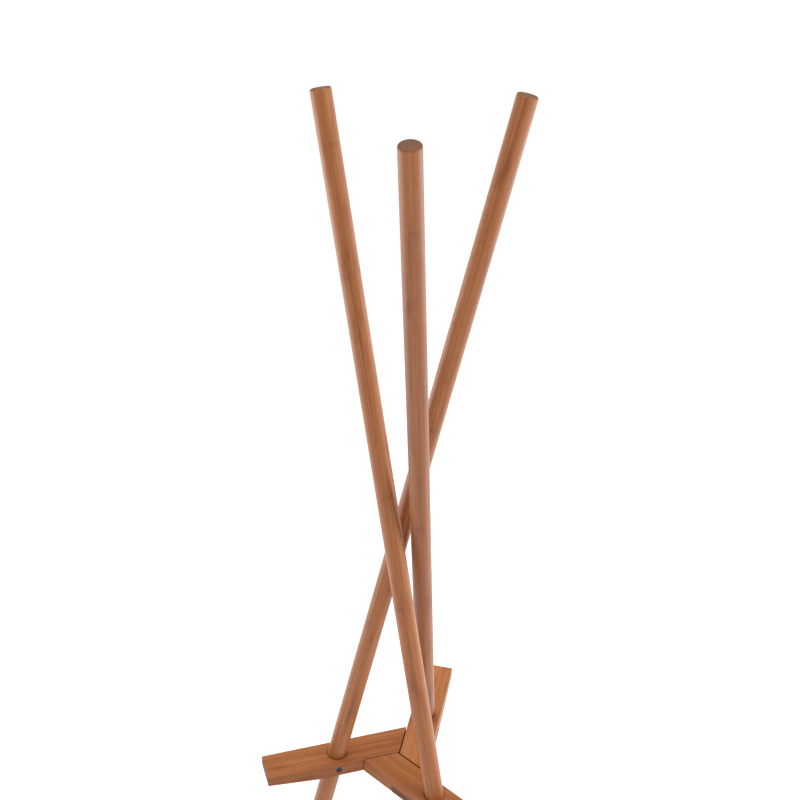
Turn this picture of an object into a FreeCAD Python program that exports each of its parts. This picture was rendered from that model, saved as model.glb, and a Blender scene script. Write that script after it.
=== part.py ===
import FreeCAD, Part
import os

import Sketcher
from FreeCAD import Vector

# Tripod coat stand: three slanted poles pass through a pinwheel hub of three lapped arms.
# Millimetres, +Z up. The origin is on the hub's threefold axis at floor level.
# The left arm points along -X; the front and back arms are the same arm turned about Z.

DRIVING_SIZES = {
    # hub arms
    "arm_width": 50,
    "arm_thickness": 25,
    "arm_length": 220,        # hub axis to the arm's square tip
    "tip_thickness": 16.5,
    "taper_start": 136,       # hub axis to where the underside starts to rise
    "side_offset": 1.5,       # hub axis to the arm's inner side
    "joint_gap": 1.6,         # between an arm's upper end and the arm beside it
    "notch_gap": 0.6,         # on each side of a tongue in its notch
    "edge_round": 1,
    "cut_margin": 12.5,       # cutting outlines run past the wood by this much
    "hub_height": 666,        # floor to the arms' top faces
    # poles
    "pole_diameter": 30,
    "pole_rise": 1119,        # along the pole, arms' top plane to the upper end
    "lean_angle": 13.25,      # degrees, along the arm towards the hub
    "side_lean": 0.33,        # degrees, across the arm towards its inner side
    "hole_bridge": 8.3,       # wood between the notch and the pole's hole
    "hole_clearance": 1,      # on the diameter
    "end_round": 3.5,
    "glide_inset": 2,         # glide's edge inside the pole's
    "glide_thickness": 3,
    # cross bolt through the arm's inner wall into a threaded insert in the pole
    "bolt_diameter": 5,
    "bolt_head_diameter": 9.2,
    "bolt_head_height": 2.6,
    "button_round": 1.8,      # radius of the head's upper edge
    "bolt_point": 0.5,        # chamfer
    "bolt_socket": 3,         # across the flats of the hexagonal socket
    "socket_depth": 1.5,
    "bolt_clearance": 0.5,    # on the diameter, in the arm
    "bolt_spare": 0.5,        # insert's far end beyond the bolt's point
    "seat_clearance": 0.8,    # on the diameter, round the bolt's head
    "head_recess": 0.4,       # bolt's head below the arm's side
    "insert_wall": 1.45,
    "insert_length": 13,
    "insert_setback": 0.5,    # insert's mouth below the pole's surface
    "thread_clearance": 0.1,  # on the diameter; stands for the threads
    # screws that hold each tongue up against the arm above it
    "screw_diameter": 4,
    "screw_cover": 4.7,       # wood above the screw's point
    "screw_head_diameter": 8,
    "screw_pitch": 28,        # between the two screws of one lap
    "screw_clearance": 0.4,   # on the diameter, in the tongue
    "screw_recess": 0.3,      # head's face above the tongue's underside
    "point_clearance": 1.2,   # pilot hole beyond the screw's point
    "recess_width": 1.1,      # cross recess, slot width
    "recess_span": 4.4,       # cross recess, tip to tip
    "recess_depth": 1.5,
}

STATIONS = {"left": 0, "front": 120, "back": -120}

doc = FreeCAD.newDocument("CoatStand")
sheet = doc.addObject("Spreadsheet::Sheet", "Sizes")
for row, (alias, size) in enumerate(DRIVING_SIZES.items(), start=1):
    sheet.set(f"A{row}", alias)
    sheet.set(f"B{row}", str(size))
    sheet.setAlias(f"B{row}", alias)
doc.recompute()


def value_of(expression):
    result = sheet.evalExpression(expression.replace("Sizes.", ""))
    return float(getattr(result, "Value", result))


def at(along, across, up, *turns):
    """Placement expression: a point, and turns (axis, degrees) applied last one first."""
    axes = {"x": "1; 0; 0", "y": "0; 1; 0", "z": "0; 0; 1"}
    turning = " * ".join(f"rotation(vector({axes[axis]}); {angle})" for axis, angle in turns or [("z", 0)])
    return f"placement(vector({along}; {across}; {up}); {turning})"


def slant(side, across):
    """X where the side of the next arm, `side` from the hub axis, meets the line y = across."""
    return f"(({side} + {across} / 2) / cos(30))"


# Derived sizes and places, as expressions of the sheet.
HALF = "(Sizes.arm_thickness / 2)"
INNER = "Sizes.side_offset"
MIDDLE = "(Sizes.side_offset + Sizes.arm_width / 2)"
OUTER = "(Sizes.side_offset + Sizes.arm_width)"
BEYOND = "(Sizes.side_offset + Sizes.arm_width + Sizes.cut_margin)"
BEFORE = "(-Sizes.cut_margin)"
HOLE = "(Sizes.pole_diameter + Sizes.hole_clearance)"
REACH = f"({slant(OUTER, MIDDLE)} + Sizes.hole_bridge + {HOLE} / 2 / cos(Sizes.lean_angle))"
POLE_BELOW = "((Sizes.hub_height - Sizes.glide_thickness) / cos(Sizes.lean_angle))"
FOOT_X = f"(-{REACH} - {POLE_BELOW} * sin(Sizes.lean_angle))"
FOOT_Y = f"({MIDDLE} + {POLE_BELOW} * tan(Sizes.side_lean))"
BOLT_X = f"(-{REACH} - {HALF} * tan(Sizes.lean_angle))"
BOLT_Z = f"(-{HALF})"
SEAT_DEPTH = "(Sizes.bolt_head_height + Sizes.head_recess)"
INSERT_MOUTH = f"({MIDDLE} - Sizes.pole_diameter / 2 + Sizes.insert_setback)"
INSERT_BORE = "(Sizes.bolt_diameter + Sizes.thread_clearance)"
INSERT_DIAMETER = f"({INSERT_BORE} + 2 * Sizes.insert_wall)"
BOLT_LENGTH = f"({INSERT_MOUTH} + Sizes.insert_length - Sizes.bolt_spare - {INNER} - {SEAT_DEPTH})"
SCREW_LENGTH = "(Sizes.arm_thickness - Sizes.screw_recess - Sizes.screw_cover)"
SCREW_HOLE = "(Sizes.screw_diameter + Sizes.screw_clearance)"
PILOT_DEPTH = f"({HALF} - Sizes.screw_cover + Sizes.point_clearance)"
POLE_TURNS = [("y", "Sizes.lean_angle"), ("x", "Sizes.side_lean")]


# PartDesign helpers


def new_body(label):
    body = doc.addObject("PartDesign::Body", label)
    body.Label = label
    return body


def new_sketch(body, name, role, place=None):
    """Sketch on one of the body's origin planes, or placed from that plane by an expression."""
    sketch = body.newObject("Sketcher::SketchObject", name)
    plane = next(item for item in body.Origin.OriginFeatures if item.Role == role)
    sketch.AttachmentSupport = (plane, [""])
    sketch.MapMode = "FlatFace"
    if place:
        sketch.setExpression("AttachmentOffset", place)
    return sketch


def bind(sketch, constraint, expression):
    index = sketch.addConstraint(constraint)
    sketch.setExpression(f"Constraints[{index}]", expression)


def add_outline(sketch, corners):
    """Closed straight-sided outline whose corners are pairs of expressions."""
    places = [Vector(value_of(across), value_of(up), 0) for across, up in corners]
    count = len(corners)
    for index in range(count):
        sketch.addGeometry(Part.LineSegment(places[index], places[(index + 1) % count]), False)
    for index in range(count):
        sketch.addConstraint(Sketcher.Constraint("Coincident", index, 2, (index + 1) % count, 1))
    for index, (across, up) in enumerate(corners):
        bind(sketch, Sketcher.Constraint("DistanceX", -1, 1, index, 1, places[index].x), across)
        bind(sketch, Sketcher.Constraint("DistanceY", -1, 1, index, 1, places[index].y), up)
    return sketch


def add_circle(sketch, diameter, across="0", up="0"):
    centre = Vector(value_of(across), value_of(up), 0)
    radius = value_of(diameter) / 2
    index = sketch.addGeometry(Part.Circle(centre, Vector(0, 0, 1), radius), False)
    bind(sketch, Sketcher.Constraint("Diameter", index, 2 * radius), diameter)
    bind(sketch, Sketcher.Constraint("DistanceX", -1, 1, index, 3, centre.x), across)
    bind(sketch, Sketcher.Constraint("DistanceY", -1, 1, index, 3, centre.y), up)
    return sketch


def extrude(body, kind, name, sketch, length=None, reversed_side=False):
    """Pad or pocket of a sketch; with no length it cuts right through both ways."""
    feature = body.newObject(f"PartDesign::{kind}", name)
    feature.Profile = sketch
    feature.Reversed = reversed_side
    if length:
        feature.setExpression("Length", length)
    else:
        feature.Type = "ThroughAll"
        feature.Midplane = True
    body.Tip = feature
    return feature


def revolve(body, name, sketch):
    feature = body.newObject("PartDesign::Revolution", name)
    feature.Profile = sketch
    feature.ReferenceAxis = (sketch, ["V_Axis"])
    feature.Angle = 360
    body.Tip = feature
    return feature


def soften(body, kind, name, size, chosen):
    """Fillet or chamfer of the tip's edges for which chosen(edge) is true."""
    doc.recompute()
    base = body.Tip
    edges = [f"Edge{n}" for n, edge in enumerate(base.Shape.Edges, start=1) if chosen(edge)]
    if not edges:
        raise RuntimeError(f"{body.Label}: {name} found no edge")
    feature = body.newObject(f"PartDesign::{kind}", name)
    feature.Base = (base, edges)
    feature.setExpression("Radius" if kind == "Fillet" else "Size", size)
    body.Tip = feature
    return feature


def is_circle_at(edge, height, diameter):
    """Whether an edge is a full level circle of this diameter at this height."""
    box = edge.BoundBox
    sizes = (box.ZMin - height, box.ZMax - height, box.XLength - diameter, box.YLength - diameter)
    return edge.isClosed() and max(map(abs, sizes)) < 1e-3


def set_place(item, turn, place=None):
    """Stand a piece at its station; place is where it stands on the left arm, from the hub's top."""
    station = at(0, 0, "Sizes.hub_height", ("z", turn))
    item.setExpression("Placement", f"{station} * {place}" if place else station)


# Pieces


def tongue_screws():
    """Places of the two screws in the arm's own tongue, as expressions."""
    return [(f"({MIDDLE} / tan(30) {sign} Sizes.screw_pitch / 2)", MIDDLE) for sign in "-+"]


def lapped_screws():
    """Places, in the arm's frame, of the two screws that come up from the neighbour's tongue."""
    return [(f"(-{x} / 2 - {y} * cos(30))", f"({x} * cos(30) - {y} / 2)") for x, y in tongue_screws()]


def make_arm(station, turn):
    """One arm of the pinwheel: a tongue under the next arm, a notch for the last arm's tongue."""
    body = new_body(f"{station}_arm")
    far_end = f"({slant(OUTER, OUTER)} + 2 * Sizes.edge_round)"
    side = new_sketch(body, "SideProfile", "XZ_Plane", at(0, 0, f"-{INNER}"))
    add_outline(side, [
        ("-Sizes.arm_length", "0"),
        (far_end, "0"),
        (far_end, "-Sizes.arm_thickness"),
        ("-Sizes.taper_start", "-Sizes.arm_thickness"),
        ("-Sizes.arm_length", "-Sizes.tip_thickness"),
    ])
    extrude(body, "Pad", "Blank", side, "Sizes.arm_width", reversed_side=True)

    kink = -value_of("Sizes.taper_start")
    soften(body, "Fillet", "Edges", "Sizes.edge_round",
           lambda edge: abs(edge.BoundBox.XMin - kink) + abs(edge.BoundBox.XMax - kink) > 1e-4)

    # upper half stops against the next arm's inner side
    cut_side = f"({INNER} - Sizes.joint_gap)"
    shoulder = new_sketch(body, "ShoulderOutline", "XY_Plane")
    add_outline(shoulder, [
        (slant(cut_side, BEFORE), BEFORE),
        ("Sizes.arm_length", BEFORE),
        ("Sizes.arm_length", BEYOND),
        (slant(cut_side, BEYOND), BEYOND),
    ])
    extrude(body, "Pocket", "Shoulder", shoulder, HALF)

    # lower half runs on as a tongue, flush with the next arm's outer side
    tongue_end = new_sketch(body, "TongueEndOutline", "XY_Plane")
    add_outline(tongue_end, [
        (slant(OUTER, BEFORE), BEFORE),
        ("Sizes.arm_length", BEFORE),
        ("Sizes.arm_length", BEYOND),
        (slant(OUTER, BEYOND), BEYOND),
    ])
    extrude(body, "Pocket", "TongueEnd", tongue_end)

    # notch from below for the tongue of the arm before
    near = f"({INNER} - Sizes.notch_gap)"
    far = f"({OUTER} + Sizes.notch_gap)"
    notch = new_sketch(body, "NotchOutline", "XY_Plane", at(0, 0, f"-{HALF}"))
    add_outline(notch, [
        (f"-{slant(near, BEFORE)}", BEFORE),
        (f"-{slant(near, BEYOND)}", BEYOND),
        (f"-{slant(far, BEYOND)}", BEYOND),
        (f"-{slant(far, BEFORE)}", BEFORE),
    ])
    extrude(body, "Pocket", "Notch", notch, "Sizes.arm_thickness")

    # slanted hole for the pole
    hole = new_sketch(body, "PoleHoleOutline", "XY_Plane", at(f"-{REACH}", MIDDLE, 0, *POLE_TURNS))
    add_circle(hole, HOLE)
    extrude(body, "Pocket", "PoleHole", hole)

    # counterbored hole for the cross bolt, through the inner wall only
    seat = new_sketch(body, "BoltSeatOutline", "XZ_Plane", at(0, 0, f"-{INNER}"))
    add_circle(seat, "Sizes.bolt_head_diameter + Sizes.seat_clearance", BOLT_X, BOLT_Z)
    extrude(body, "Pocket", "BoltSeat", seat, SEAT_DEPTH)
    bore = new_sketch(body, "BoltHoleOutline", "XZ_Plane", at(0, 0, f"-{INNER}"))
    add_circle(bore, "Sizes.bolt_diameter + Sizes.bolt_clearance", BOLT_X, BOLT_Z)
    extrude(body, "Pocket", "BoltHole", bore, "Sizes.arm_width / 2")

    # countersunk holes up through the tongue
    holes = new_sketch(body, "ScrewHoleOutline", "XY_Plane", at(0, 0, "-Sizes.arm_thickness"))
    for across, up in tongue_screws():
        add_circle(holes, SCREW_HOLE, across, up)
    extrude(body, "Pocket", "ScrewHoles", holes, HALF, reversed_side=True)
    sink = f"(Sizes.screw_head_diameter / 2 + Sizes.screw_recess - {SCREW_HOLE} / 2)"
    underside = -value_of("Sizes.arm_thickness")
    soften(body, "Chamfer", "Countersinks", sink,
           lambda edge: is_circle_at(edge, underside, value_of(SCREW_HOLE)))

    # pilot holes up into the upper half, over the notch
    pilots = new_sketch(body, "PilotOutline", "XY_Plane", at(0, 0, f"-{HALF}"))
    for across, up in lapped_screws():
        add_circle(pilots, "Sizes.screw_diameter + Sizes.thread_clearance", across, up)
    extrude(body, "Pocket", "PilotHoles", pilots, PILOT_DEPTH, reversed_side=True)

    set_place(body, turn)
    return body


def make_pole(station, turn):
    """Round pole along its own Z, its own origin where its axis crosses the arms' top plane."""
    body = new_body(f"{station}_pole")
    ring = new_sketch(body, "PoleOutline", "XY_Plane", at(0, 0, "Sizes.pole_rise"))
    add_circle(ring, "Sizes.pole_diameter")
    full_length = f"(Sizes.pole_rise + {POLE_BELOW} + Sizes.pole_diameter)"
    extrude(body, "Pad", "Rod", ring, full_length, reversed_side=True)
    soften(body, "Fillet", "TopRound", "Sizes.end_round",
           lambda edge: is_circle_at(edge, value_of("Sizes.pole_rise"), value_of("Sizes.pole_diameter")))

    # lower end cut level with the floor
    wide = "Sizes.pole_diameter"
    rise = "(Sizes.pole_diameter * tan(Sizes.lean_angle))"
    upright = ("x", "-Sizes.side_lean")
    foot = new_sketch(body, "FootOutline", "XZ_Plane", at(0, 0, 0, upright))
    add_outline(foot, [
        (f"-{wide}", f"(-{POLE_BELOW} - {rise})"),
        (wide, f"(-{POLE_BELOW} + {rise})"),
        (wide, f"(-{POLE_BELOW} - 3 * {wide})"),
        (f"-{wide}", f"(-{POLE_BELOW} - 3 * {wide})"),
    ])
    extrude(body, "Pocket", "LevelFoot", foot)

    # blind cross hole for the threaded insert, entered from the arm's inner side
    surface = "Sizes.pole_diameter / 2"
    entry = at(0, f"{surface} * sin(Sizes.side_lean)", f"{surface} * cos(Sizes.side_lean)", upright)
    cross = new_sketch(body, "InsertHoleOutline", "XZ_Plane", entry)
    hole = f"{INSERT_DIAMETER} + Sizes.thread_clearance"
    add_circle(cross, hole, "0", f"(-{HALF} / cos(Sizes.lean_angle))")
    extrude(body, "Pocket", "InsertHole", cross, "Sizes.insert_length + 2 * Sizes.insert_setback")

    set_place(body, turn, at(f"-{REACH}", MIDDLE, 0, *POLE_TURNS))
    return body


def across_arm(depth):
    """Place on the cross bolt's axis, at y = depth, with Z pointing along +Y."""
    return at(BOLT_X, depth, BOLT_Z, ("x", -90))


def make_bolt(station, turn):
    """Button-head bolt along its own Z; the head's seat is at its origin."""
    body = new_body(f"{station}_bolt")
    head = "Sizes.bolt_head_diameter / 2"
    shank = "Sizes.bolt_diameter / 2"
    profile = new_sketch(body, "BoltProfile", "XZ_Plane")
    add_outline(profile, [
        ("0", "-Sizes.bolt_head_height"),
        (head, "-Sizes.bolt_head_height"),
        (head, "0"),
        (shank, "0"),
        (shank, BOLT_LENGTH),
        ("0", BOLT_LENGTH),
    ])
    revolve(body, "Turned", profile)
    head_top = -value_of("Sizes.bolt_head_height")
    soften(body, "Fillet", "Button", "Sizes.button_round",
           lambda edge: is_circle_at(edge, head_top, value_of("Sizes.bolt_head_diameter")))
    soften(body, "Chamfer", "Point", "Sizes.bolt_point",
           lambda edge: is_circle_at(edge, value_of(BOLT_LENGTH), value_of("Sizes.bolt_diameter")))
    socket = new_sketch(body, "SocketOutline", "XY_Plane", at(0, 0, "-Sizes.bolt_head_height"))
    corner = "Sizes.bolt_socket / 2 / cos(30)"
    add_outline(socket, [(f"{corner} * cos({60 * n})", f"{corner} * sin({60 * n})") for n in range(6)])
    extrude(body, "Pocket", "Socket", socket, "Sizes.socket_depth", reversed_side=True)
    set_place(body, turn, across_arm(f"{INNER} + {SEAT_DEPTH}"))
    return body


def make_insert(station, turn):
    """Threaded insert as a plain sleeve along its own Z, its mouth at its origin."""
    body = new_body(f"{station}_insert")
    ring = new_sketch(body, "SleeveOutline", "XY_Plane")
    add_circle(ring, INSERT_DIAMETER)
    add_circle(ring, INSERT_BORE)
    extrude(body, "Pad", "Sleeve", ring, "Sizes.insert_length")
    set_place(body, turn, across_arm(INSERT_MOUTH))
    return body


def make_lap_screw(station, turn, number):
    """Countersunk screw along its own Z, its head's face at its origin."""
    body = new_body(f"{station}_lap_screw_{number}")
    head = "Sizes.screw_head_diameter / 2"
    shank = "Sizes.screw_diameter / 2"
    profile = new_sketch(body, "ScrewProfile", "XZ_Plane")
    add_outline(profile, [
        ("0", "0"),
        (head, "0"),
        (shank, f"{head} - {shank}"),
        (shank, f"{SCREW_LENGTH} - Sizes.screw_diameter"),
        ("0", SCREW_LENGTH),
    ])
    revolve(body, "Turned", profile)
    cross = new_sketch(body, "CrossRecessOutline", "XY_Plane")
    tip = "Sizes.recess_span / 2"
    edge = "Sizes.recess_width / 2"
    arm_corners = [(tip, f"-{edge}"), (tip, edge), (edge, edge)]
    corners = []
    for quarter in range(4):
        cosine, sine = ((1, 0), (0, 1), (-1, 0), (0, -1))[quarter]
        corners += [(f"{cosine} * ({x}) - {sine} * ({y})", f"{sine} * ({x}) + {cosine} * ({y})")
                    for x, y in arm_corners]
    add_outline(cross, corners)
    extrude(body, "Pocket", "CrossRecess", cross, "Sizes.recess_depth", reversed_side=True)
    across, behind = tongue_screws()[number - 1]
    set_place(body, turn, at(across, behind, "-Sizes.arm_thickness + Sizes.screw_recess"))
    return body


def make_glide(station, turn):
    """Felt disc between the pole's level foot and the floor."""
    glide = doc.addObject("Part::Cylinder", f"{station}_glide")
    glide.Label = f"{station}_glide"
    glide.setExpression("Radius", "Sizes.pole_diameter / 2 - Sizes.glide_inset")
    glide.setExpression("Height", "Sizes.glide_thickness")
    set_place(glide, turn, at(FOOT_X, FOOT_Y, "-Sizes.hub_height"))
    return glide


pieces = []
for station, turn in STATIONS.items():
    pieces.append(make_arm(station, turn))
    pieces.append(make_pole(station, turn))
    pieces.append(make_bolt(station, turn))
    pieces.append(make_insert(station, turn))
    for number in (1, 2):
        pieces.append(make_lap_screw(station, turn, number))
    pieces.append(make_glide(station, turn))
doc.recompute()

# Checks, then one STEP file for each piece

for item in doc.Objects:
    if {"Invalid", "Error"} & set(item.State):
        raise RuntimeError(f"{item.Label} failed: {item.State}")
    if item.TypeId == "PartDesign::Pocket" and item.Shape.Volume >= item.BaseFeature.Shape.Volume:
        raise RuntimeError(f"{item.Label} cuts nothing")

for piece in pieces:
    if piece.Shape.isNull() or not piece.Shape.isValid() or len(piece.Shape.Solids) != 1:
        raise RuntimeError(f"{piece.Label} is not one valid solid")

os.makedirs("parts", exist_ok=True)
for piece in pieces:
    piece.Shape.exportStep(f"parts/{piece.Label}.step")
    box = piece.Shape.BoundBox
    print(f"{piece.Label:18s} {piece.Shape.Volume / 1000:9.3f} cm3  z {box.ZMin:8.2f} to {box.ZMax:8.2f}")
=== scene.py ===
import math

import bpy
import numpy as np
from mathutils import Matrix, Vector


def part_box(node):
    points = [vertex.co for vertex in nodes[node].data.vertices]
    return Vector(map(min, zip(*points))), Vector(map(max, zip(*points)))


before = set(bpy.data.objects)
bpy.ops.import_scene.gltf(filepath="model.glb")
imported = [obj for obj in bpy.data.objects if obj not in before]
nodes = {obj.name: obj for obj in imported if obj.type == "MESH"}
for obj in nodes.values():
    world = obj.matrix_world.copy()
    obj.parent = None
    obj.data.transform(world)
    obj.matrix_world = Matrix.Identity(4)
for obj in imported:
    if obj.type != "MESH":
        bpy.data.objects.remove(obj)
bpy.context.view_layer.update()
scene = bpy.context.scene
stations = {"left": 0, "front": 120, "back": -120}      # degrees round the hub's axis
print("frame loaded:", len(nodes), "pieces")


# camera: a little above the pole ends, looking down past them at the hub
cameraView = {
    "place": (-0.4930, -1.3981, 2.1670),
    "turnRight": 15.347,      # degrees from +Y
    "tiltUp": -25.159,
    "roll": -0.060,
    "lens": 53.936,
    "shift": (0.0807, -0.1130),
}


def makeCamera():
    turn = math.radians(cameraView["turnRight"])
    tilt = math.radians(cameraView["tiltUp"])
    roll = math.radians(cameraView["roll"])
    ahead = Vector((math.sin(turn) * math.cos(tilt), math.cos(turn) * math.cos(tilt), math.sin(tilt)))
    right = Vector((math.cos(turn), -math.sin(turn), 0))
    up = right.cross(ahead)
    rolledRight = math.cos(roll) * right - math.sin(roll) * up
    rolledUp = math.sin(roll) * right + math.cos(roll) * up
    data = bpy.data.cameras.new("camera")
    data.lens = cameraView["lens"]
    data.shift_x, data.shift_y = cameraView["shift"]
    camera = bpy.data.objects.new("camera", data)
    scene.collection.objects.link(camera)
    camera.matrix_world = Matrix.Translation(cameraView["place"]) @ Matrix(
        (rolledRight, rolledUp, -ahead)).transposed().to_4x4()
    scene.camera = camera


makeCamera()
print("camera placed")


topDepth = 0.004          # metres; what lies this near the highest point counts as the upper end
levelSlack = 0.00001      # metres; what lies this near the lowest point counts as the cut foot


def grainOfPole(node):
    # from the stand's axes to the pole's own, with X up the pole from its foot
    points = np.array([v.co for v in node.data.vertices])
    lengthwise = np.linalg.svd(points - points.mean(0))[2][0]
    lengthwise = lengthwise if lengthwise[2] > 0 else -lengthwise
    reach = points @ lengthwise
    levels = points[:, 2]
    top = Vector(points[reach > reach.max() - topDepth].mean(0))
    foot = Vector(points[levels < levels.min() + levelSlack].mean(0))
    along = (top - foot).normalized()
    across = Vector((0, 0, 1)).cross(along).normalized()
    through = along.cross(across)
    return Matrix((along, across, through)).to_4x4() @ Matrix.Translation(-foot)


def grainOfArm(station):
    # from the stand's axes to the arm's own, with X along the arm and Z up from its top face
    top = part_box(f"{station}_arm")[1].z
    turn = Matrix.Rotation(-math.radians(stations[station]), 4, "Z")
    return turn @ Matrix.Translation((0, 0, -top))


def put(tree, kind, inputs=None, **settings):
    made = tree.nodes.new(kind)
    for key, value in settings.items():
        setattr(made, key, value)
    for key, value in (inputs or {}).items():
        if isinstance(value, bpy.types.NodeSocket):
            tree.links.new(value, made.inputs[key])
        else:
            made.inputs[key].default_value = value
    return made


def calc(tree, operation, *values, clamp=False):
    made = put(tree, "ShaderNodeMath", dict(enumerate(values)), operation=operation, use_clamp=clamp)
    return made.outputs[0]


seedSteps = (1.0, 1.7, 2.3)      # how far a seed moves a pattern along each axis


def stretched(tree, place, stretch, seed):
    # the same place with each axis multiplied, moved on by a seed
    start = [seed * step for step in seedSteps]
    scaled = put(tree, "ShaderNodeVectorMath", {0: place, 1: stretch}, operation="MULTIPLY").outputs[0]
    return put(tree, "ShaderNodeVectorMath", {0: scaled, 1: start}, operation="ADD").outputs[0]


def noise(tree, place, stretch, seed, detail, roughness):
    made = put(tree, "ShaderNodeTexNoise",
               {"Vector": stretched(tree, place, stretch, seed), "Scale": 1.0, "Detail": detail,
                "Roughness": roughness})
    return made.outputs["Fac"]


def noiseLike(tree, place, kind, seed=0.0):
    # a noise from its entry in one of the dictionaries below
    return noise(tree, place, kind["waves"], seed + kind["start"], kind["detail"], kind.get("roughness", 0.5))


def between(tree, value, low, high, outLow=0.0, outHigh=1.0):
    made = put(tree, "ShaderNodeMapRange",
               {"Value": value, "From Min": low, "From Max": high, "To Min": outLow, "To Max": outHigh},
               interpolation_type="SMOOTHSTEP")
    return made.outputs[0]


def blendColour(tree, share, first, second):
    made = put(tree, "ShaderNodeMix", data_type="RGBA")
    for index, value in ((0, share), (6, first), (7, second)):      # the node's factor and two colours
        if isinstance(value, bpy.types.NodeSocket):
            tree.links.new(value, made.inputs[index])
        else:
            made.inputs[index].default_value = value
    return made.outputs[2]


def newMaterial(name):
    material = bpy.data.materials.new(name)
    material.use_nodes = True
    material.node_tree.nodes.clear()
    return material, material.node_tree


def finishSurface(tree, inputs, height=None, bump=None):
    shader = put(tree, "ShaderNodeBsdfPrincipled", inputs)
    if height is not None:
        raised = put(tree, "ShaderNodeBump", {"Height": height, **bump})
        tree.links.new(raised.outputs[0], shader.inputs["Normal"])
    put(tree, "ShaderNodeOutputMaterial", {"Surface": shader.outputs[0]})


# carbonised laminated bamboo under satin lacquer; lengths in metres
bambooLook = {
    "dark": (0.195, 0.056, 0.013, 1),
    "middle": (0.350, 0.113, 0.029, 1),
    "light": (0.520, 0.215, 0.078, 1),
    # the darkest brown: for vessels, glue lines and dots on cut ends, and for the painted shade in the joints
    "vesselAndPaintedShade": (0.070, 0.022, 0.009, 1),
    "knotBand": (0.150, 0.045, 0.015, 1),

    # noises: waves a metre along, across and through the grain, and where each starts
    "fibres": {
        "drift": {"waves": (1.3, 20, 20), "start": 0, "detail": 1.0},
        "broad": {"waves": (1.7, 90, 90), "start": 3, "detail": 2.0},
        "streaks": {"waves": (5, 520, 520), "start": 7, "detail": 4.0, "roughness": 0.62},
        "hairs": {"waves": (26, 2600, 2600), "start": 11, "detail": 2.0},
        "vessels": {"waves": (55, 2100, 2100), "start": 17, "detail": 1.0},
        "wobble": {"waves": (40, 700, 700), "start": 23, "detail": 2.0},
        "patches": {"waves": (13, 60, 60), "start": 29, "detail": 2.0},
    },
    "toneShares": {"broad": 0.75, "streaks": 1.05, "hairs": 0.45},
    "vesselsFrom": (0.62, 0.74),      # the part of the noise that turns into vessels
    "vesselDepth": 0.35,
    "patchesFrom": (0.54, 0.72),
    "patchShade": -0.24,

    "stripSpread": 0.11,      # how much the strips differ in tone
    "stripWander": 0.25,      # in strip widths
    "glueWidth": 0.00030,
    "glueDepth": 0.14,

    "knotSpacing": 0.52,      # between two knots of one strip
    "knotHalfWidth": 0.0060,
    "knotCore": 0.2,          # share of the half width that is darkest
    "knotWander": 0.010,
    "knotShift": (3.0, 0.37),         # by strip and by piece, so that no two line up
    "knotDepth": 0.28,
    "knotShadow": (6, -0.08),         # how many half widths it reaches, and its shade

    "endFrom": (0.45, 0.85),  # from a face that counts as long grain to one that counts as cut end
    "paintedShadeSideFrom": (0.55, 0.85),
    "endMix": 0.20,           # how much of the long grain's tone shows on a cut end
    "endRougher": 0.18,
    "endDots": (0.01, 430, 430),      # dots a metre
    "dotEdge": (0.20, 0.42),  # from a dot's middle, in dot spacings
    "dotDepth": 0.75,

    # painted shade in the joints and round the holes, darker where the surface is hemmed in
    "paintedShadeReach": 0.005,
    "paintedShadeSamples": 8,
    "paintedShadeFrom": (0.35, 0.92),
    "paintedShadeDepth": 0.80,

    "roughness": (0.38, 0.52),
    "roughnessFrom": (0.25, 0.75),
    "ior": 1.5,
    "specular": 0.15,
    "coatRoughness": 0.42,
    "raisedBy": {"streaks": 0.55, "hairs": 0.25, "glue": -0.9, "knot": 0.35},
    "bump": {"Strength": 0.55, "Distance": 0.00012},
}


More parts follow.
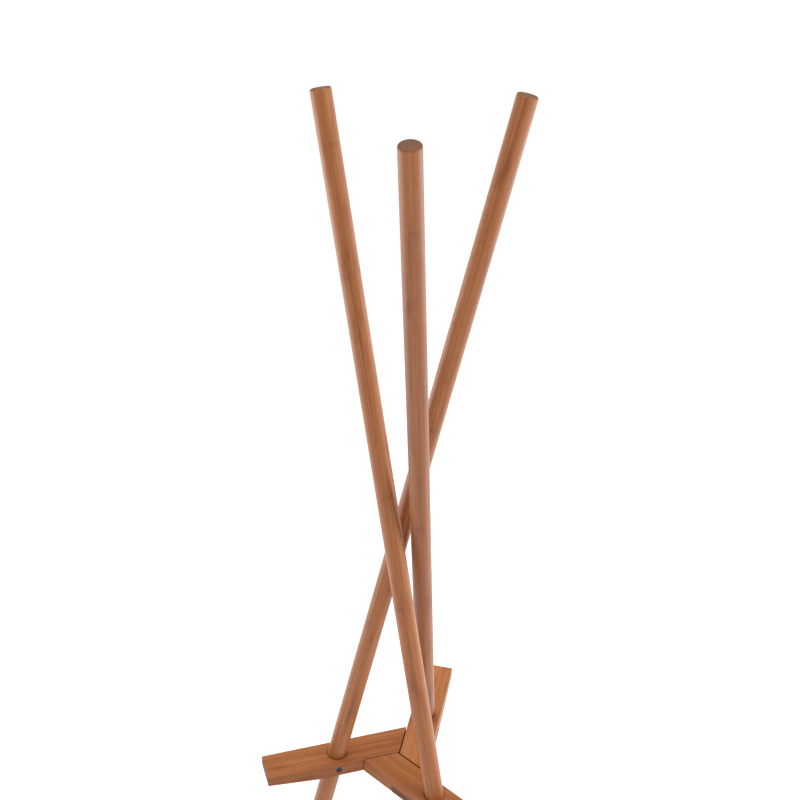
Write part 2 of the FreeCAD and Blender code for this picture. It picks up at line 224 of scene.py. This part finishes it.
def bamboo(name, toGrain, wood, seed, shade, look=bambooLook):
    material, tree = newMaterial(name)
    here = put(tree, "ShaderNodeTexCoord").outputs["Object"]
    place = put(tree, "ShaderNodeMapping", {"Vector": here, "Location": toGrain.to_translation(),
                                            "Rotation": toGrain.to_euler()}).outputs[0]
    along, across, through = put(tree, "ShaderNodeSeparateXYZ", {0: place}).outputs[:3]

    def fibre(kind):
        return noiseLike(tree, place, look["fibres"][kind], seed)

    def addCentred(value, share, tone):
        return calc(tree, "MULTIPLY_ADD", calc(tree, "SUBTRACT", value, 0.5), share, tone)

    # strips side by side, and layers through the thickness, each with its own tone
    wander = calc(tree, "MULTIPLY", fibre("drift"), look["stripWander"])
    stripPlace = calc(tree, "MULTIPLY_ADD", across, 1 / wood["strip"], wander)
    layerPlace = calc(tree, "MULTIPLY_ADD", through, 1 / wood["layer"], wood["layerShift"])
    strip = calc(tree, "FLOOR", stripPlace)
    layer = calc(tree, "FLOOR", layerPlace)
    stripCode = put(tree, "ShaderNodeCombineXYZ", {0: strip, 1: layer, 2: seed}).outputs[0]
    chance = put(tree, "ShaderNodeTexWhiteNoise", {"Vector": stripCode}, noise_dimensions="3D").outputs
    knotChance = put(tree, "ShaderNodeSeparateXYZ", {0: chance["Color"]}).outputs[1]

    # glue lines at the strips' edges
    inStrip = calc(tree, "FRACT", stripPlace)
    toEdge = calc(tree, "MINIMUM", inStrip, calc(tree, "SUBTRACT", 1.0, inStrip))
    glue = between(tree, toEdge, 0.0, look["glueWidth"] / wood["strip"], 1.0, 0.0)

    # knots: a dark band across each strip now and then
    alongKnot = addCentred(fibre("wobble"), look["knotWander"], along)
    byStrip, byPiece = look["knotShift"]
    knotStart = calc(tree, "MULTIPLY_ADD", knotChance, byStrip, seed * byPiece)
    turns = calc(tree, "MULTIPLY_ADD", alongKnot, 1 / look["knotSpacing"], knotStart)
    fromKnot = calc(tree, "ABSOLUTE", calc(tree, "SUBTRACT", calc(tree, "FRACT", turns), 0.5))
    knotEdge = look["knotHalfWidth"] / look["knotSpacing"]
    shadowReach, shadowTone = look["knotShadow"]
    knot = between(tree, fromKnot, knotEdge * look["knotCore"], knotEdge, 1.0, 0.0)
    nearKnot = between(tree, fromKnot, knotEdge, knotEdge * shadowReach, 1.0, 0.0)

    # which way the surface looks: along the grain on a cut end, across it on a side
    toStand = toGrain.inverted().to_3x3()
    normal = put(tree, "ShaderNodeNewGeometry").outputs["Normal"]

    def facing(way, limits):
        direction = toStand @ Vector(way)
        turned = put(tree, "ShaderNodeVectorMath", {0: normal, 1: direction}, operation="DOT_PRODUCT")
        return between(tree, calc(tree, "ABSOLUTE", turned.outputs["Value"]), *limits)

    endShare = facing((1, 0, 0), look["endFrom"])
    paintedShadeSide = facing((0, 1, 0), look["paintedShadeSideFrom"])

    # tone: 0 is dark, 1 is light
    grain = {kind: fibre(kind) for kind in look["toneShares"]}
    tone = addCentred(chance["Value"], look["stripSpread"], 0.5 + shade)
    for kind, share in look["toneShares"].items():
        tone = addCentred(grain[kind], share, tone)
    tone = calc(tree, "MULTIPLY_ADD", nearKnot, shadowTone, tone)
    patches = between(tree, fibre("patches"), *look["patchesFrom"])
    tone = calc(tree, "MULTIPLY_ADD", patches, look["patchShade"], tone)
    # painted shade: the sides are darker, standing in for the less light that falls on them
    tone = calc(tree, "MULTIPLY_ADD", paintedShadeSide, wood["sidePaintedShade"], tone, clamp=True)

    lower = blendColour(tree, calc(tree, "MULTIPLY", tone, 2.0, clamp=True), look["dark"], look["middle"])
    upper = calc(tree, "MULTIPLY_ADD", tone, 2.0, -1.0, clamp=True)
    colour = blendColour(tree, upper, lower, look["light"])
    vessels = between(tree, fibre("vessels"), *look["vesselsFrom"])
    colour = blendColour(tree, calc(tree, "MULTIPLY", vessels, look["vesselDepth"]), colour, look["vesselAndPaintedShade"])
    colour = blendColour(tree, calc(tree, "MULTIPLY", glue, look["glueDepth"]), colour, look["vesselAndPaintedShade"])
    colour = blendColour(tree, calc(tree, "MULTIPLY", knot, look["knotDepth"]), colour, look["knotBand"])

    # cut ends: darker, matt, dotted with vessels
    dots = put(tree, "ShaderNodeTexVoronoi",
               {"Vector": stretched(tree, place, look["endDots"], seed), "Scale": 1.0}).outputs["Distance"]
    dotShare = calc(tree, "MULTIPLY", between(tree, dots, *look["dotEdge"], 1.0, 0.0), look["dotDepth"])
    endColour = blendColour(tree, dotShare, wood["endGrain"], look["vesselAndPaintedShade"])
    endColour = blendColour(tree, look["endMix"], endColour, colour)
    colour = blendColour(tree, endShare, colour, endColour)

    # painted shade: the colour darkens in the joints and round the holes, where the surface is hemmed in
    openness = put(tree, "ShaderNodeAmbientOcclusion", {"Distance": look["paintedShadeReach"]},
                   samples=look["paintedShadeSamples"]).outputs["AO"]
    paintedShade = between(tree, openness, *look["paintedShadeFrom"], look["paintedShadeDepth"], 0.0)
    colour = blendColour(tree, paintedShade, colour, look["vesselAndPaintedShade"])

    # satin lacquer, a little rougher on the open fibres
    rough = between(tree, grain["streaks"], *look["roughnessFrom"], *look["roughness"])
    rough = calc(tree, "MULTIPLY_ADD", endShare, look["endRougher"], rough, clamp=True)
    raisedBy = look["raisedBy"]
    height = calc(tree, "MULTIPLY", grain["hairs"], raisedBy["hairs"])
    for part, value in (("streaks", grain["streaks"]), ("glue", glue), ("knot", knot)):
        height = calc(tree, "MULTIPLY_ADD", value, raisedBy[part], height)
    finishSurface(tree, {
        "Base Color": colour,
        "Roughness": rough,
        "IOR": look["ior"],
        "Specular IOR Level": look["specular"],
        "Coat Weight": wood["coat"],
        "Coat Roughness": look["coatRoughness"],
    }, height, look["bump"])
    return material


def assign(node, material):
    node.data.materials.clear()
    node.data.materials.append(material)


# each piece's own wood: where its pattern starts, and how much lighter or darker it is
armWood = {
    "strip": 0.0125,
    "layer": 0.0400,
    "layerShift": 0.37,       # in layers
    "coat": 0.20,
    "sidePaintedShade": -0.18,       # painted shade: the arm's sides are darkened, standing in for the less light they get
    "endGrain": (0.085, 0.020, 0.007, 1),
    "left": {"seed": 2.3, "shade": 0.0},
    "front": {"seed": 7.4, "shade": 0.0},
    "back": {"seed": 12.5, "shade": 0.18},
}
poleWood = {
    "strip": 0.0115,
    "layer": 0.0180,
    "layerShift": 0.37,
    "coat": 0.60,
    "sidePaintedShade": 0.0,
    "endGrain": (0.150, 0.052, 0.018, 1),
    "left": {"seed": 31.7, "shade": 0.08},
    "front": {"seed": 36.0, "shade": 0.10},
    "back": {"seed": 40.3, "shade": -0.12},
}

for station in stations:
    for piece, wood in (("arm", armWood), ("pole", poleWood)):
        node = nodes[f"{station}_{piece}"]
        toGrain = grainOfArm(station) if piece == "arm" else grainOfPole(node)
        assign(node, bamboo(f"{station} {piece} bamboo", toGrain, wood, wood[station]["seed"],
                            wood[station]["shade"]))
print("bamboo arms and poles finished")


boltLook = {
    "colour": (0.060, 0.068, 0.090, 1),
    "worn": (0.300, 0.320, 0.350, 1),
    "roughness": (0.20, 0.36),
}
screwLook = {
    "colour": (0.560, 0.565, 0.560, 1),
    "worn": (0.720, 0.710, 0.680, 1),
    "roughness": (0.26, 0.44),
}
steelWear = {
    "clouds": {"waves": (260, 260, 260), "start": 3.0, "detail": 4.0},
    "cloudsFrom": (0.52, 0.72),
    "scratches": {"waves": (300, 300, 5200), "start": 9.0, "detail": 2.0},
    "scratchesFrom": (0.2, 0.8),
    "depth": 0.35,
    "bump": {"Strength": 0.25, "Distance": 0.00004},
}


def steel(name, look):
    material, tree = newMaterial(name)
    here = put(tree, "ShaderNodeTexCoord").outputs["Object"]
    clouds = noiseLike(tree, here, steelWear["clouds"])
    scratches = noiseLike(tree, here, steelWear["scratches"])
    wear = calc(tree, "MULTIPLY", between(tree, clouds, *steelWear["cloudsFrom"]), steelWear["depth"])
    colour = blendColour(tree, wear, look["colour"], look["worn"])
    rough = between(tree, scratches, *steelWear["scratchesFrom"], *look["roughness"])
    finishSurface(tree, {"Base Color": colour, "Metallic": 1.0, "Roughness": rough}, scratches,
                  steelWear["bump"])
    return material


feltLook = {
    "dark": (0.020, 0.016, 0.014, 1),
    "tuft": (0.085, 0.070, 0.060, 1),
    "clump": (0.120, 0.100, 0.090, 1),
    "tufts": {"waves": (900, 900, 900), "start": 5.0, "detail": 5.0, "roughness": 0.7},
    "tuftsFrom": (0.3, 0.7),
    "clumps": {"waves": (160, 160, 160), "start": 1.0, "detail": 2.0},
    "clumpDepth": 0.3,
    "roughness": 0.95,
    "sheen": 0.5,
    "sheenRoughness": 0.6,
    "bump": {"Strength": 0.8, "Distance": 0.0005},
}


def felt(name, look=feltLook):
    material, tree = newMaterial(name)
    here = put(tree, "ShaderNodeTexCoord").outputs["Object"]
    tufts = noiseLike(tree, here, look["tufts"])
    clumps = noiseLike(tree, here, look["clumps"])
    colour = blendColour(tree, between(tree, tufts, *look["tuftsFrom"]), look["dark"], look["tuft"])
    colour = blendColour(tree, calc(tree, "MULTIPLY", clumps, look["clumpDepth"]), colour, look["clump"])
    finishSurface(tree, {
        "Base Color": colour,
        "Roughness": look["roughness"],
        "Sheen Weight": look["sheen"],
        "Sheen Roughness": look["sheenRoughness"],
    }, tufts, look["bump"])
    return material


blackened = steel("blackened steel", boltLook)
zinc = steel("zinc plated steel", screwLook)
darkFelt = felt("dark felt")
for station in stations:
    assign(nodes[f"{station}_bolt"], blackened)
    assign(nodes[f"{station}_insert"], zinc)
    assign(nodes[f"{station}_lap_screw_1"], zinc)
    assign(nodes[f"{station}_lap_screw_2"], zinc)
    assign(nodes[f"{station}_glide"], darkFelt)
print("hardware and felt finished")


studio = {
    "floorSize": 60.0,
    "floorSteps": 8,
    "floorTone": (0.93, 0.93, 0.93, 1),
    "floorRoughness": 0.8,
    "floorSpecular": 0.2,
    "surround": 0.40,           # what lights the object from all round; the camera sees white
    "overhead": {"strength": 2.25, "spread": 90},      # spread in degrees
    "boxes": {
        "left box": {"place": (-1.88, 1.16, 0.85), "aim": (0, 0, 1.0),
                     "size": (2.5, 1.1), "power": 21},
        "right box": {"place": (2.19, -0.10, 0.85), "aim": (0, 0, 1.0),
                      "size": (2.5, 1.1), "power": 20},
        "key box": {"place": (2.75, -1.35, 2.30), "aim": (0, 0, 1.2),
                    "size": (1.5, 1.5), "power": 30},
    },
}


def makeFloor():
    half = studio["floorSize"] / 2
    steps = studio["floorSteps"]
    row = steps + 1
    corners = [(-half + 2 * half * i / steps, -half + 2 * half * j / steps, 0)
               for j in range(row) for i in range(row)]
    firsts = [j * row + i for j in range(steps) for i in range(steps)]
    faces = [(first, first + 1, first + row + 1, first + row) for first in firsts]
    mesh = bpy.data.meshes.new("floor")
    mesh.from_pydata(corners, [], faces)
    floor = bpy.data.objects.new("floor", mesh)
    scene.collection.objects.link(floor)
    material, tree = newMaterial("pale floor")
    finishSurface(tree, {
        "Base Color": studio["floorTone"],
        "Roughness": studio["floorRoughness"],
        "Specular IOR Level": studio["floorSpecular"],
    })
    mesh.materials.append(material)


def makeLights():
    world = bpy.data.worlds.new("surround")
    world.use_nodes = True
    tree = world.node_tree
    seen = put(tree, "ShaderNodeLightPath").outputs["Is Camera Ray"]
    strength = put(tree, "ShaderNodeMapRange", {"Value": seen, "To Min": studio["surround"], "To Max": 1.0})
    tree.nodes["Background"].inputs["Color"].default_value = (1, 1, 1, 1)
    tree.links.new(strength.outputs[0], tree.nodes["Background"].inputs["Strength"])
    scene.world = world
    overhead = bpy.data.lights.new("overhead", "SUN")
    overhead.energy = studio["overhead"]["strength"]
    overhead.angle = math.radians(studio["overhead"]["spread"])
    scene.collection.objects.link(bpy.data.objects.new("overhead", overhead))
    for name, lamp in studio["boxes"].items():
        data = bpy.data.lights.new(name, "AREA")
        data.shape = "RECTANGLE"
        data.size, data.size_y = lamp["size"]
        data.energy = lamp["power"]
        light = bpy.data.objects.new(name, data)
        light.location = lamp["place"]
        way = Vector(lamp["aim"]) - Vector(lamp["place"])
        light.rotation_euler = way.to_track_quat("-Z", "Y").to_euler()
        light.visible_camera = False
        scene.collection.objects.link(light)


scene.view_settings.view_transform = "Standard"
makeFloor()
makeLights()
print("floor and lights placed")
